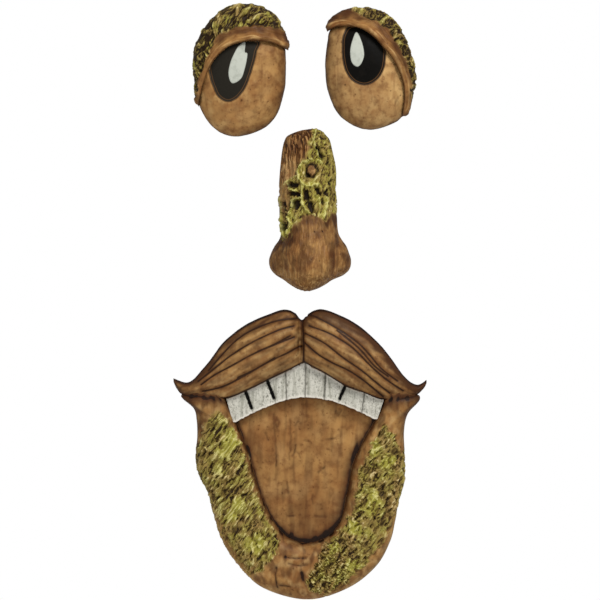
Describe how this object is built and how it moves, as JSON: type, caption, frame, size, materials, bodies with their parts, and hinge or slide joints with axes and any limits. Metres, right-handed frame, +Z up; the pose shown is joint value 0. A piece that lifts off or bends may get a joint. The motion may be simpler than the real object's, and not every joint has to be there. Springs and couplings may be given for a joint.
{
  "type": "tree face sculpture",
  "caption": "Cartoon face for a tree trunk: lidded eyes, a long nose and a grinning, bearded mouth under a moustache, each with a flat back.",
  "frame": {"origin": "middle of the mouth's flat back, where it lies against the trunk", "axes": "+Z up as hung, the face looks along -Y, +Y into the trunk, +X to a viewer's right"},
  "size_m": [0.1636, 0.035, 0.3854],
  "materials": {
    "painted_resin": "cast resin, stained tan-brown with a dark wash in its hollows, dry-brushed moss green on the lids, nose and beard, black irises, pale teeth"
  },
  "bodies": {
    "root": {"left_eye": "painted_resin", "right_eye": "painted_resin", "nose": "painted_resin", "mouth": "painted_resin"}
  },
  "joints": []
}
